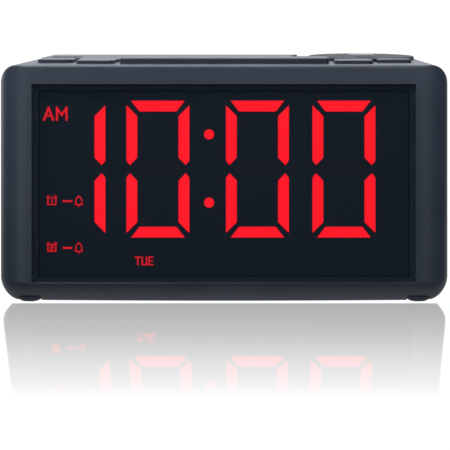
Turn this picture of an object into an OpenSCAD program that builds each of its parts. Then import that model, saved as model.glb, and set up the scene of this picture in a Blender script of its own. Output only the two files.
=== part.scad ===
// Clock radio with a large LED display, low top keys, a rotating dial with a centre button,
// and a rear cover that carries the loudspeaker and the backup battery compartment.
// +X is the viewer's right, the face looks along -Y and leans back, +Z is up.
// The origin is on the ground, at the centre of the footprint.

/* [Body] */
// Width of the body
body_w = 150; // [148:0.5:152]
// Depth of the footprint
body_d = 76; // [75:0.5:79]
// Height of the body without its feet
body_h = 76.8; // [76:0.1:78]
// Height of a foot below the body
foot_h = 1; // [0.8:0.1:1.2]
// Angle that the face leans back
face_tilt = 11; // [10:0.5:12]
// Wall thickness of the mouldings
wall = 2.2; // [2:0.1:2.6]
// Depth of the front bezel, square to the face
bezel_depth = 5; // [4.8:0.1:5.4]
// Thickness of the rear cover
cover_t = 3; // [2.6:0.1:3.4]

/* [Display] */
// Width of the lens
lens_w = 127.2; // [124:0.2:128]
// Height of the lens, measured up the face
lens_h = 65.6; // [62:0.2:66]
// Height of the lens centre up the face
lens_v = 39; // [38.8:0.1:39.2]
// Thickness of the lens
lens_t = 2; // [1.6:0.1:2.2]
// Height of a digit
digit_h = 45.7; // [44:0.1:46]
// Width of a digit
digit_w = 21; // [20:0.1:21]
// Width of a lit segment
seg_w = 3.6; // [3.2:0.1:3.8]

/* [Controls] */
// Height of the raised deck behind the front keys
deck_rise = 1; // [0.8:0.1:1.2]
// Length of the snooze bar
snooze_len = 71.1; // [69.1:0.2:71.5]
// Depth of the snooze bar
snooze_deep = 10; // [9:0.5:11]
// Height of the snooze bar above the top panel
snooze_rise = 2.1; // [1.8:0.1:2.2]
// Height of a key above the top panel
key_rise = 1.26; // [1.1:0.02:1.4]
// Radius of the dial
dial_r = 19.4; // [18.5:0.1:19.4]
// Depth of the round well that the dial sits in
dial_well = 1; // [0.8:0.1:1.2]
// Height of the dial's domed top above the top panel
dial_rise = 1.5; // [1.3:0.1:1.7]
// Radius of the dial's centre button
button_r = 5; // [4.6:0.1:5.4]

/* [Rear] */
// Radius of the loudspeaker
speaker_r = 26; // [24:0.5:27]

/* [Hidden] */
$fn = 64;

tiny = 0.01;
fit = 0.05;                              // running clearance of a shaft in its bore
gap = 0.3;                               // clearance around a moving piece
r_chin = 1.2;                            // radius of the lower front edge
// Where the face's plane would meet the base; the chin's foremost point is at -body_d / 2
front_y = -body_d / 2 + r_chin - r_chin / tan((90 - face_tilt) / 2);
back_y = body_d / 2;
top_z = foot_h + body_h;
cover_y = back_y - cover_t;
panel_y = front_y + body_h * tan(face_tilt);       // front edge of the top panel
panel_under = top_z - wall;
bottom_inner = foot_h + wall;

// Other corner radii of the body
r_brow = 0.5;
r_rear = 3;
r_top_corner = 6.3;
r_low_corner = 7.3;
r_side_band = 8;
r_inner_min = 0.6;

// Stack behind the face, as distances along the face's outward normal
lens_recess = 0.4;
lens_back = -lens_recess - lens_t;
ledge = 1.5;                             // width of the ledge that the lens sits on
ledge_back = lens_back - 1.6;
block_front = lens_back - 1;
block_back = ledge_back - 6;
block_w = lens_w - 2 * ledge - 1;
block_h = lens_h - 2 * ledge - 1;
lit_front = block_front + 0.2;
lit_back = block_front - 3.6;
icon_t = 0.3;
display_board = [138, 58, 1.6];
display_post = [66, 24];                 // half spacing of the display posts
post_r = 2.5;
screw_r = 1.25;
screw_hole_r = 1.5;
screw_head_r = 2.4;
screw_head_t = 1.4;

// Digits, as places along the face from the middle of the lens
digit_v = 43.8;
tens_u = -50.15;
ones_u = -22.1;
min_tens_u = 11.15;
min_ones_u = 40.05;
colon_u = -5;
colon_v = [55.4, 32.6];
colon_r = 1.68;

// Top controls: [x of the left side, x of the right side, front and rear set-back from the brow]
alarm_1_at = [-64.85, -52.7, 12.8, 21];
alarm_2_at = [-50.45, -37.75, 7, 17];
set_at = [-63.5, -53.5, 29.5, 38.5];
radio_at = [37.7, 50.6, 7, 15.5];
sleep_at = [52.8, 64.65, 12.8, 17.6];
snooze_at = [-snooze_len / 2, snooze_len / 2, 7, 7 + snooze_deep];
dial_x = 49.95;
dial_y = panel_y + 38.2;
key_corner = 1.8;
flange = 0.9;
flange_t = 1.2;
dial_lift = 0.15;                        // clearance of the dial over the floor of its well
rim_rise = 1.1;                          // height of the dial's rim above the top panel
dimple = [13.6, 4.2, 0.7];               // finger dimple: distance from the axis, radius, depth
deck_front = [18.2, 26];                 // set-back of the deck's front edge, and behind alarm_1
deck_rear = 50;
deck_x = [-66.5, -51.4];                 // left ends of the rear and front parts of the deck
deck_clear = 26;                         // radius kept clear around the dial's axis
web_top = -0.2;                          // top of the web under the centre button
button_low = 0.5;
hub_r = 6;
stem_r = 3;

// Board under the keys, with its switches
key_board_top = 67.9;
key_board_t = 1.6;
switch_size = 6;
switch_h = 3.5;
plunger_r = 1.75;
plunger_h = 3.7;
switch_top = key_board_top + switch_h;
plunger_top = switch_top + 1.8;
stem_lift = 0.8;                         // height of the dial button's stem over its switch
encoder_w = 20;
encoder_top = 74.8;
key_post = [[-45, 2], [-45, 20], [24, 4], [66, 20]];
key_board = [-70, -15.2, 140, 41.2];         // front left corner, width and depth

// Feet, each in a shallow pocket
foot_x = 64.9;
foot_r = 3.9;
foot_front = [1.7, 4.7];                 // set-back of a front foot's front and rear edges
foot_rear_y = 30;
foot_pocket = 0.8;

// Main board
main_z = 9;
main_board = [118, 40, 1.6];
main_y = -4;
main_post = [54, 15];

// Rear cover
speaker_x = -30;
speaker_z = 41;
grille_pitch = 5;
grille_slot = 2;
jack_at = [52, 13];
grommet_at = [64, 29];
bay_x = [6, 56.3];
bay_z = [35, 59];
bay_deep = 14;
door_lip = 2;
cell_r = 5.25;
cell_len = 44.5;
cover_post = [69.6, 9, 69.4];             // x, lower z and upper z of the cover's screws
boss_deep = 9;
rod_r = 4;
rod_len = 60;
rod_at = [-3, 25, 11];                   // middle of the rod
cradle_at = [-24, 22];

// ---------- outlines ----------

function unit(a) = a / norm(a);
function toward(p, q) = unit(q - p);
// Half of the angle at point i of the outline p
function half_angle(p, i) =
    acos(toward(p[i], p[(i + 1) % len(p)]) * toward(p[i], p[(i + len(p) - 1) % len(p)])) / 2;
function tangent_point(p, i, step, r) =
    p[i] + toward(p[i], p[(i + len(p) + step) % len(p)]) * r / tan(half_angle(p, i));
function corner_centre(p, i, r) =
    p[i] + unit(toward(p[i], p[(i + 1) % len(p)]) + toward(p[i], p[(i + len(p) - 1) % len(p)]))
    * r / sin(half_angle(p, i));

// Convex outline p with a true arc of radius r[i] at each corner
module rounded_outline(p, r) {
    polygon([for (i = [0:len(p) - 1]) each [
        tangent_point(p, i, -1, r[i]),
        tangent_point(p, i, 1, r[i])]]);
    for (i = [0:len(p) - 1])
        translate(corner_centre(p, i, r[i])) circle(r[i]);
}

// Rectangle between two corners, with rounded corners
module pill(x0, x1, y0, y1, r) {
    rounded_outline([[x0, y0], [x1, y0], [x1, y1], [x0, y1]], [r, r, r, r]);
}

// Straight stroke of a symbol
module stroke(p, q, t) {
    translate(p) rotate(atan2(q[1] - p[1], q[0] - p[0]))
        translate([-t / 2, -t / 2]) square([norm(q - p) + t, t]);
}

module strokes(points, t) {
    for (i = [0:len(points) - 2]) stroke(points[i], points[i + 1], t);
}

// ---------- frames ----------

// Local x is +X, local y runs up the face, local z is the face's outward normal
module face_frame() {
    translate([0, front_y, foot_h]) rotate([90 - face_tilt, 0, 0]) children();
}

// Slab square to the face, from one distance along its normal to another
module face_slab(w0, w1) {
    face_frame() translate([-body_w, -body_h, w0]) cube([2 * body_w, 3 * body_h, w1 - w0]);
}

// Local x is +Y, local y is +Z, and the extrusion runs along X
module along_x(length) {
    translate([-length / 2, 0, 0]) rotate([90, 0, 90]) linear_extrude(length) children();
}

// Local x is +X, local y is +Z, and the extrusion runs from y0 to y1
module along_y(y0, y1) {
    translate([0, y1, 0]) rotate([90, 0, 0]) linear_extrude(y1 - y0) children();
}

module along_z(z0, z1) {
    translate([0, 0, z0]) linear_extrude(z1 - z0) children();
}

// ---------- casing ----------

function shrink(r, inset) = max(r - inset, r_inner_min);

// Front of the side profile at height z, moved inwards by inset
function profile_y(z, inset) =
    front_y + (z - foot_h) * tan(face_tilt) + inset / cos(face_tilt);

// Place in the side view, at a height up the face and a distance along its normal
function face_point(v, w) = [front_y + v * sin(face_tilt) - w * cos(face_tilt),
    foot_h + v * cos(face_tilt) + w * sin(face_tilt)];

// Whole body, or the body drawn in by a wall thickness
module body_solid(inset) {
    low = foot_h + inset;
    high = top_z - inset;
    half = body_w / 2 - inset;
    intersection() {
        along_x(2 * half) rounded_outline(
            [[profile_y(low, inset), low], [back_y - inset, low],
             [back_y - inset, high], [profile_y(high, inset), high]],
            [shrink(r_chin, inset), shrink(r_rear, inset), shrink(r_rear, inset),
             shrink(r_brow, inset)]);
        along_y(-body_d, body_d) rounded_outline(
            [[-half, low], [half, low], [half, high], [-half, high]],
            [shrink(r_low_corner, inset), shrink(r_low_corner, inset),
             shrink(r_top_corner, inset), shrink(r_top_corner, inset)]);
        face_frame() translate([0, -body_h, 0]) rotate([-90, 0, 0]) linear_extrude(3 * body_h)
            rounded_outline(
                [[-half, inset], [half, inset], [half, 2 * body_d], [-half, 2 * body_d]],
                [shrink(r_side_band, inset), shrink(r_side_band, inset), 1, 1]);
        along_z(-body_h, 2 * body_h) rounded_outline(
            [[-half, -body_d], [half, -body_d], [half, back_y - inset], [-half, back_y - inset]],
            [1, 1, shrink(r_rear, inset), shrink(r_rear, inset)]);
    }
}

module lens_area(margin, w0, w1) {
    face_frame() translate([-lens_w / 2 + margin, lens_v - lens_h / 2 + margin, w0])
        cube([lens_w - 2 * margin, lens_h - 2 * margin, w1 - w0]);
}

module display_posts(r, w0, w1) {
    face_frame()
        for (x = [-display_post[0], display_post[0]], y = [-display_post[1], display_post[1]])
            translate([x, lens_v + y, w0]) cylinder(r = r, h = w1 - w0);
}

module front_bezel() {
    color([0.20, 0.23, 0.27]) difference() {
        union() {
            intersection() {
                body_solid(0);
                face_slab(-bezel_depth, 2);
            }
            display_posts(post_r, block_back, ledge_back + tiny);
        }
        lens_area(0, lens_back, 2);
        lens_area(ledge, -bezel_depth - 1, 0);
        difference() {
            intersection() {
                body_solid(wall);
                face_slab(-bezel_depth - 1, ledge_back);
            }
            display_posts(post_r, block_back - 1, 0);
        }
        display_posts(screw_r, block_back - 1, ledge_back - 1);
        for (x = [-foot_x, foot_x]) along_z(0, foot_h + foot_pocket) front_pad_outline(x);
    }
}

module display_lens() {
    color([0.07, 0.09, 0.12]) lens_area(0, lens_back, -lens_recess);
}

module cabinet_posts(r, z0, z1) {
    for (x = [-main_post[0], main_post[0]], y = [-main_post[1], main_post[1]])
        translate([x, main_y + y, z0]) cylinder(r = r, h = z1 - z0);
}

module key_posts(r, z0, z1) {
    for (p = key_post)
        translate([p[0], p[1], z0]) cylinder(r = r, h = z1 - z0);
}

module key_outline(at, grow) {
    pill(at[0] - grow, at[1] + grow, panel_y + at[2] - grow, panel_y + at[3] + grow,
        key_corner + grow);
}

module cover_bosses(r, y0, y1) {
    for (x = [-cover_post[0], cover_post[0]], z = [cover_post[1], cover_post[2]])
        translate([x, y1, z]) rotate([90, 0, 0]) cylinder(r = r, h = y1 - y0);
}

// Blocks on the floor that the ferrite rod lies in
module rod_cradles() {
    for (x = cradle_at)
        translate([x - 1.5, rod_at[1] - rod_r - 1.5, bottom_inner - tiny])
            cube([3, 2 * rod_r + 3, rod_at[2] - bottom_inner]);
}

// Low deck behind the front keys, which curves round the dial
module deck() {
    along_z(top_z - tiny, top_z + deck_rise) difference() {
        union() {
            pill(deck_x[1], dial_x, panel_y + deck_front[0], panel_y + deck_rear, 1.5);
            pill(deck_x[0], 0, panel_y + deck_front[1], panel_y + deck_rear, 1.5);
        }
        translate([dial_x, dial_y]) circle(deck_clear);
    }
}

module cabinet() {
    color([0.20, 0.23, 0.27]) difference() {
        union() {
            difference() {
                intersection() {
                    body_solid(0);
                    face_slab(-2 * body_d, -bezel_depth);
                    translate([-body_w, -body_d, 0]) cube([2 * body_w, body_d + cover_y, 2 * body_h]);
                }
                body_solid(wall);
                translate([-body_w / 2 + wall + 2, cover_y - 1, foot_h + wall + 2])
                    cube([body_w - 2 * wall - 4, 2, body_h - 2 * wall - 4]);
            }
            cabinet_posts(post_r, bottom_inner - tiny, main_z);
            key_posts(post_r, key_board_top, panel_under + tiny);
            intersection() {
                body_solid(0.5);
                cover_bosses(post_r + 1, cover_y - boss_deep, cover_y);
            }
            rod_cradles();
            deck();
        }
        for (at = [snooze_at, alarm_1_at, alarm_2_at, set_at, radio_at, sleep_at])
            along_z(panel_under - 1, top_z + 2) key_outline(at, gap);
        translate([dial_x, dial_y, panel_under - 1]) cylinder(r = hub_r + gap, h = wall + 2);
        translate([dial_x, dial_y, top_z - dial_well]) cylinder(r = dial_r + gap, h = wall);
        for (x = [-foot_x, foot_x])
            translate([x, foot_rear_y, 0]) cylinder(r = foot_r, h = foot_h + foot_pocket);
        cabinet_posts(screw_r, bottom_inner + 1, main_z + 1);
        key_posts(screw_r, key_board_top - 1, panel_under - 1);
        cover_bosses(screw_r, cover_y - boss_deep + 1, cover_y + 1);
        at_rod() cylinder(r = rod_r, h = rod_len, center = true);
    }
}

// Plan of a front foot: a low pad under the front edge
module front_pad_outline(x) {
    pill(x - foot_r, x + foot_r, front_y + foot_front[0], front_y + foot_front[1], 1.4);
}

module front_foot(x) {
    color([0.08, 0.08, 0.09]) along_z(0, foot_h + foot_pocket) front_pad_outline(x);
}

// Round rubber pad in its pocket, with a softened lower edge
module rear_foot(x) {
    color([0.08, 0.08, 0.09]) translate([x, foot_rear_y, 0]) rotate_extrude()
        polygon([[0, 0], [foot_r - 0.4, 0], [foot_r, 0.4], [foot_r, foot_h + foot_pocket],
            [0, foot_h + foot_pocket]]);
}

module foot_front_left() { front_foot(-foot_x); }
module foot_front_right() { front_foot(foot_x); }
module foot_rear_left() { rear_foot(-foot_x); }
module foot_rear_right() { rear_foot(foot_x); }

// ---------- keys ----------

function key_mid(at) = [(at[0] + at[1]) / 2, panel_y + (at[2] + at[3]) / 2];

// Key cap in its opening, a flange that holds it under the panel, and a stem to the switch
module key(at, rise) {
    flange_top = panel_under - 0.1;
    color([0.26, 0.29, 0.33]) {
        along_z(flange_top - tiny, top_z + rise) key_outline(at, 0);
        along_z(flange_top - flange_t, flange_top) key_outline(at, flange);
        translate([key_mid(at)[0], key_mid(at)[1], plunger_top])
            cylinder(r = 1.5, h = flange_top - plunger_top);
    }
}

module snooze_bar() { key(snooze_at, snooze_rise); }
module alarm_1_key() { key(alarm_1_at, key_rise); }
module alarm_2_key() { key(alarm_2_at, key_rise); }
module set_key() { key(set_at, deck_rise + 0.4); }
module radio_key() { key(radio_at, key_rise); }
module sleep_key() { key(sleep_at, key_rise); }

module plunger(at) {
    color([0.75, 0.7, 0.6]) translate([key_mid(at)[0], key_mid(at)[1], plunger_top - plunger_h])
        cylinder(r = plunger_r, h = plunger_h);
}

module snooze_plunger() { plunger(snooze_at); }
module alarm_1_plunger() { plunger(alarm_1_at); }
module alarm_2_plunger() { plunger(alarm_2_at); }
module set_plunger() { plunger(set_at); }
module radio_plunger() { plunger(radio_at); }
module sleep_plunger() { plunger(sleep_at); }

// One switch body, with a blind bore for its plunger
module switch_body(p) {
    difference() {
        translate([p[0] - switch_size / 2, p[1] - switch_size / 2, key_board_top])
            cube([switch_size, switch_size, switch_h]);
        translate([p[0], p[1], key_board_top + 0.4]) cylinder(r = plunger_r + fit, h = switch_h);
    }
}

module tact_switches() {
    color([0.15, 0.15, 0.16]) {
        for (at = [snooze_at, alarm_1_at, alarm_2_at, set_at, radio_at, sleep_at])
            switch_body(key_mid(at));
        switch_body([dial_x, dial_y]);
    }
}

module key_pcb() {
    color([0.1, 0.35, 0.2]) difference() {
        translate([key_board[0], key_board[1], key_board_top - key_board_t])
            cube([key_board[2], key_board[3], key_board_t]);
        key_posts(screw_hole_r, key_board_top - 2 * key_board_t, key_board_top + 1);
    }
}

module key_pcb_screws() {
    head_top = key_board_top - key_board_t;
    color([0.7, 0.7, 0.72]) for (p = key_post) translate([p[0], p[1], head_top - screw_head_t]) {
        cylinder(r = screw_head_r, h = screw_head_t);
        cylinder(r = screw_r, h = screw_head_t + key_board_t + 5);
    }
}

// ---------- dial ----------

module tuning_dial() {
    under = top_z - dial_well + dial_lift;
    sphere_r = (dimple[1] * dimple[1] + dimple[2] * dimple[2]) / (2 * dimple[2]);
    color([0.24, 0.27, 0.31]) translate([dial_x, dial_y, 0]) difference() {
        rotate_extrude() polygon([[stem_r + gap, switch_top + 0.5], [hub_r, switch_top + 0.5],
            [hub_r, under], [dial_r, under],
            [dial_r, top_z + rim_rise - 0.3], [dial_r - 0.5, top_z + rim_rise],
            [button_r + gap, top_z + dial_rise], [button_r + gap, top_z + web_top],
            [stem_r + gap, top_z + web_top]]);
        translate([0, -dimple[0], top_z + 1.26 - dimple[2] + sphere_r]) sphere(sphere_r);
    }
}

module dial_button() {
    color([0.3, 0.33, 0.37]) translate([dial_x, dial_y, 0]) rotate_extrude()
        polygon([[0, switch_top + stem_lift], [stem_r, switch_top + stem_lift],
            [stem_r, top_z + button_low], [button_r, top_z + button_low],
            [button_r, top_z + dial_rise - 0.1], [button_r - 0.6, top_z + dial_rise + 0.2],
            [0, top_z + dial_rise + 0.4]]);
}

module button_plunger() {
    low = plunger_top - plunger_h;
    color([0.75, 0.7, 0.6]) translate([dial_x, dial_y, low])
        cylinder(r = plunger_r, h = switch_top + stem_lift - low);
}

// Hollow-shaft encoder: a switch sits in its base and the dial's hub turns in its bore
module dial_encoder() {
    seat = 7;
    color([0.2, 0.2, 0.22]) difference() {
        translate([dial_x - encoder_w / 2, dial_y - encoder_w / 2, key_board_top])
            cube([encoder_w, encoder_w, encoder_top - key_board_top]);
        translate([dial_x - seat / 2, dial_y - seat / 2, key_board_top - 1])
            cube([seat, seat, switch_h + 1 + tiny]);
        translate([dial_x, dial_y, switch_top]) cylinder(r = hub_r + fit, h = 10);
    }
}

// ---------- display ----------

half_w = digit_w / 2;
half_h = digit_h / 2;
mitre = 1.55;                            // set-back of a mitre from the digit's corner
mid_gap = 1.35;                          // half of the gap between upper and lower segments

// Top segment of a digit
module seg_a() {
    polygon([[-half_w + mitre, half_h], [half_w - mitre, half_h],
        [half_w - mitre - 2.8, half_h - seg_w], [-half_w + mitre + 2.8, half_h - seg_w]]);
}

// Upper right segment, with a mitred upper end and a pointed lower end
module seg_b() {
    polygon([[half_w, half_h - mitre], [half_w, mid_gap + 1.5], [half_w - 1.2, mid_gap],
        [half_w - seg_w, mid_gap + 2.5], [half_w - seg_w, half_h - mitre - seg_w]]);
}

module seg_g() {
    polygon([[-half_w + 2.4, 0], [-half_w + 4.2, 1.8], [half_w - 4.2, 1.8],
        [half_w - 2.4, 0], [half_w - 4.2, -1.8], [-half_w + 4.2, -1.8]]);
}

module zero_shape() {
    for (m = [0, 1]) mirror([0, m]) {
        seg_a();
        for (n = [0, 1]) mirror([n, 0]) seg_b();
    }
}

module one_shape() {
    for (m = [0, 1]) mirror([0, m]) seg_b();
}

module colon_shape() {
    for (v = colon_v) translate([colon_u, v]) circle(colon_r);
}

// Layer of the display between two distances along the face's normal
module layer(w0, w1) {
    face_frame() translate([0, 0, w0]) linear_extrude(w1 - w0) children();
}

module lit(w0 = lit_back, w1 = lit_front) {
    color([1, 0.13, 0.16]) layer(w0, w1) children();
}

module hour_tens_digit() { lit() translate([tens_u, digit_v]) one_shape(); }
module hour_ones_digit() { lit() translate([ones_u, digit_v]) zero_shape(); }
module minute_tens_digit() { lit() translate([min_tens_u, digit_v]) zero_shape(); }
module minute_ones_digit() { lit() translate([min_ones_u, digit_v]) zero_shape(); }
module colon_dots() { lit() colon_shape(); }

module unlit_segments() {
    color([0.2, 0.12, 0.11]) layer(lit_back, block_front + tiny)
        for (u = [ones_u, min_tens_u, min_ones_u]) translate([u, digit_v]) seg_g();
}

module reflector_block() {
    color([0.05, 0.06, 0.07]) difference() {
        face_frame() translate([-block_w / 2, lens_v - block_h / 2, block_back])
            cube([block_w, block_h, block_front - block_back]);
        layer(lit_back, block_front + 1) {
            translate([tens_u, digit_v]) one_shape();
            for (u = [ones_u, min_tens_u, min_ones_u]) translate([u, digit_v]) {
                zero_shape();
                seg_g();
            }
            colon_shape();
        }
    }
}

module icon() {
    lit(block_front, block_front + icon_t) children();
}

module am_indicator() {
    h = 4;
    icon() translate([-60.1, 60.3]) {
        strokes([[0, 0], [1.5, h], [3, 0]], 0.65);
        stroke([0.7, 1.3], [2.3, 1.3], 0.6);
        strokes([[4.3, 0], [4.3, h], [5.9, 1.6], [7.5, h], [7.5, 0]], 0.65);
    }
}

// Small alarm clock, a dash and a bell, with the alarm's number on the clock
module alarm_symbol(v, number) {
    t = 0.3;
    icon() translate([0, v]) {
        translate([-57.5, 0]) {
            difference() {
                square([3, 2.6], center = true);
                square([2.3, 1.9], center = true);
            }
            stroke([-1.6, 1.5], [-0.9, 1.8], t);
            stroke([1.6, 1.5], [0.9, 1.8], t);
            strokes(number, 0.3);
        }
        stroke([-53.6, 0], [-51.0, 0], 0.6);
        translate([-48.5, 0]) {
            strokes([[-1.3, -1.1], [1.3, -1.1]], t);
            strokes([[-0.95, -1.1], [-0.95, 0.6], [-0.4, 1.4], [0.4, 1.4], [0.95, 0.6],
                [0.95, -1.1]], t);
            stroke([-0.3, -1.6], [0.3, -1.6], t);
            stroke([0, 1.4], [0, 1.8], t);
        }
    }
}

module alarm_1_indicator() {
    alarm_symbol(33.1, [[0, -0.6], [0, 0.6]]);
}

module alarm_2_indicator() {
    alarm_symbol(17.5, [[-0.4, 0.6], [0.4, 0.6], [0.4, 0], [-0.4, 0], [-0.4, -0.6], [0.4, -0.6]]);
}

module weekday_indicator() {
    h = 2.5;
    t = 0.42;
    icon() translate([-29.6, 11.9]) {
        stroke([0, h], [1.6, h], t);
        stroke([0.8, 0], [0.8, h], t);
        strokes([[2.3, h], [2.3, 0], [3.7, 0], [3.7, h]], t);
        strokes([[5.8, h], [4.5, h], [4.5, 0], [5.8, 0]], t);
        stroke([4.5, h / 2], [5.6, h / 2], t);
    }
}

module display_pcb() {
    color([0.1, 0.3, 0.18]) difference() {
        face_frame() translate([-display_board[0] / 2, lens_v - display_board[1] / 2,
            block_back - display_board[2]]) cube(display_board);
        display_posts(screw_hole_r, block_back - 3, block_back + 1);
    }
}

module display_screws() {
    head_front = block_back - display_board[2];
    color([0.7, 0.7, 0.72]) {
        display_posts(screw_head_r, head_front - screw_head_t, head_front);
        display_posts(screw_r, head_front - tiny, block_back + 4);
    }
}

// ---------- main board ----------

module main_pcb() {
    color([0.1, 0.35, 0.2]) difference() {
        translate([-main_board[0] / 2, main_y - main_board[1] / 2, main_z]) cube(main_board);
        cabinet_posts(screw_hole_r, main_z - 1, main_z + 3);
    }
}

module main_chips() {
    color([0.07, 0.07, 0.08]) {
        for (p = [[-30, -4, 12, 12], [0, -10, 8, 14], [16, 6, 10, 6], [34, -8, 9, 9]])
            translate([p[0] - p[2] / 2, main_y + p[1] - p[3] / 2, main_z + main_board[2]])
                cube([p[2], p[3], 1.8]);
    }
}

module capacitors() {
    color([0.12, 0.14, 0.3]) {
        for (p = [[-44, 8, 4, 11], [-12, 9, 3, 8], [46, -6, 5, 12], [4, 4, 2.5, 6]])
            translate([p[0], main_y + p[1], main_z + main_board[2]]) cylinder(r = p[2], h = p[3]);
    }
}

module pcb_screws() {
    head_low = main_z + main_board[2];
    color([0.7, 0.7, 0.72]) {
        cabinet_posts(screw_head_r, head_low, head_low + screw_head_t);
        cabinet_posts(screw_r, bottom_inner + 1.5, head_low + tiny);
    }
}

// Flat cable that runs from the display board down to the main board
module ribbon_cable() {
    half = 9;
    start = face_point(40, block_back - display_board[2] - 0.35);
    low = main_z + main_board[2] + 1;
    color([0.75, 0.75, 0.78]) translate([20, 0, 0]) along_x(2 * half) {
        strokes([start, start + [4, 0], [-9, start[1] - 12], [-9, low], [-2, low]], 0.6);
        translate([-5, main_z + main_board[2]]) square([3, 1]);
    }
}

// ---------- rear ----------

module at_speaker() {
    translate([speaker_x, cover_y, speaker_z]) rotate([90, 0, 0]) children();
}

module speaker_posts(r, depth) {
    for (a = [45:90:315]) rotate(a) translate([speaker_r + 3.5, 0, 0]) cylinder(r = r, h = depth);
}

module rear_cover() {
    lip = 1.4;
    grille_r = speaker_r - 4;
    color([0.18, 0.2, 0.24]) difference() {
        union() {
            intersection() {
                body_solid(0);
                translate([-body_w, cover_y, 0]) cube([2 * body_w, body_d, 2 * body_h]);
            }
            translate([bay_x[0] - 1.5, cover_y - bay_deep, bay_z[0] - 1.5])
                cube([bay_x[1] - bay_x[0] + 3, bay_deep + 1, bay_z[1] - bay_z[0] + 3]);
            at_speaker() speaker_posts(post_r, 4);
        }
        translate([bay_x[0], cover_y - bay_deep + 1.5, bay_z[0]])
            cube([bay_x[1] - bay_x[0], bay_deep + cover_t, bay_z[1] - bay_z[0]]);
        translate([bay_x[0] - door_lip - gap, back_y - lip, bay_z[0] - door_lip - gap])
            cube([bay_x[1] - bay_x[0] + 2 * (door_lip + gap), cover_t,
                bay_z[1] - bay_z[0] + 2 * (door_lip + gap)]);
        for (x = [-grille_r + 2:grille_pitch:grille_r - 2]) {
            reach = sqrt(grille_r * grille_r - x * x);
            translate([speaker_x + x - grille_slot / 2, cover_y - 1, speaker_z - reach])
                cube([grille_slot, cover_t + 2, 2 * reach]);
        }
        for (x = [10:8:58])
            translate([x, cover_y - 1, 65.5]) cube([5, cover_t + 2, 2]);
        translate([jack_at[0], back_y + 1, jack_at[1]]) rotate([90, 0, 0])
            cylinder(r = 4.5, h = cover_t + 2);
        translate([grommet_at[0], back_y + 1, grommet_at[1]]) rotate([90, 0, 0])
            cylinder(r = 3, h = cover_t + 2);
        cover_bosses(screw_hole_r, cover_y - 1, back_y + 1);
        cover_bosses(screw_head_r + 0.3, back_y - screw_head_t, back_y + 1);
        at_speaker() speaker_posts(screw_r, 5);
    }
}

module rear_cover_screws() {
    color([0.6, 0.6, 0.62]) {
        cover_bosses(screw_head_r, back_y - screw_head_t, back_y - tiny);
        cover_bosses(screw_r, cover_y - boss_deep + 2, back_y - screw_head_t);
    }
}

module speaker_frame() {
    color([0.25, 0.25, 0.27]) at_speaker() difference() {
        union() {
            rotate_extrude() polygon([[speaker_r - 3, 0], [speaker_r, 0], [speaker_r, 4],
                [speaker_r - 3, 5], [15, 14], [8, 14], [8, 12.5], [14, 12.5], [speaker_r - 3, 3]]);
            for (a = [45:90:315]) rotate(a)
                translate([speaker_r - 1, -3.5, 4]) cube([8, 7, 1.2]);
        }
        for (a = [45:90:315]) rotate(a)
            translate([speaker_r + 3.5, 0, 3]) cylinder(r = screw_hole_r, h = 4);
    }
}

module speaker_cone() {
    color([0.12, 0.12, 0.13]) at_speaker() rotate_extrude()
        polygon([[0, 8], [5, 8.4], [speaker_r - 4, 1.5], [speaker_r - 3, 1.5],
            [speaker_r - 3, 2.3], [speaker_r - 4, 2.3], [5.5, 9.2], [0, 8.8]]);
}

module speaker_magnet() {
    color([0.45, 0.45, 0.47]) at_speaker() translate([0, 0, 14]) cylinder(r = 14, h = 7);
}

module speaker_screws() {
    color([0.7, 0.7, 0.72]) at_speaker() {
        for (a = [45:90:315]) rotate(a) translate([speaker_r + 3.5, 0, 0]) {
            translate([0, 0, 5.2]) cylinder(r = 2.2, h = 1.2);
            translate([0, 0, 0.5]) cylinder(r = screw_r, h = 5);
        }
    }
}

module dc_jack() {
    color([0.08, 0.08, 0.09]) translate([jack_at[0], back_y - 0.5, jack_at[1]]) rotate([90, 0, 0]) {
        difference() {
            union() {
                cylinder(r = 4.5, h = cover_t - 0.5);
                translate([-5.5, -5.5, cover_t - 0.5]) cube([11, 11, 9]);
            }
            translate([0, 0, -1]) cylinder(r = 3.1, h = 10);
        }
        cylinder(r = 1, h = 9 + tiny);
    }
}

module antenna_grommet() {
    color([0.06, 0.06, 0.07]) translate([grommet_at[0], back_y, grommet_at[1]])
        rotate([90, 0, 0]) rotate_extrude()
            polygon([[0.9, 0], [3, 0], [3, cover_t], [4, cover_t], [4, cover_t + 1.2],
                [0.9, cover_t + 1.2]]);
}

module at_rod() {
    translate(rod_at) rotate([0, 90, 0]) children();
}

module ferrite_rod() {
    color([0.2, 0.2, 0.21]) at_rod() cylinder(r = rod_r, h = rod_len, center = true);
}

module antenna_coil() {
    color([0.75, 0.4, 0.2]) at_rod() difference() {
        cylinder(r = rod_r + 1, h = 20, center = true);
        cylinder(r = rod_r, h = 22, center = true);
    }
}

// ---------- battery bay ----------

module battery_door() {
    color([0.18, 0.2, 0.24]) {
        translate([bay_x[0] - door_lip, back_y - 1.4, bay_z[0] - door_lip])
            cube([bay_x[1] - bay_x[0] + 2 * door_lip, 1.4, bay_z[1] - bay_z[0] + 2 * door_lip]);
        translate([bay_x[0] + 12, back_y - 2.6, bay_z[1] - 1.8]) cube([30, 1.3, 1.4]);
        translate([bay_x[0] + 12, back_y - 2.6, bay_z[0] + 0.4]) cube([30, 1.3, 1.4]);
    }
}

function cell_z(i) = bay_z[0] + 6.2 + i * 11.4;
cell_y = cover_y - bay_deep / 2 + 0.2;
cell_x0 = bay_x[0] + 4.7;

module backup_batteries() {
    color([0.75, 0.6, 0.2]) for (i = [0, 1])
        translate([cell_x0, cell_y, cell_z(i)]) rotate([0, 90, 0]) {
            cylinder(r = cell_r, h = cell_len - 1);
            cylinder(r = 1.9, h = cell_len);
        }
}

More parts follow.
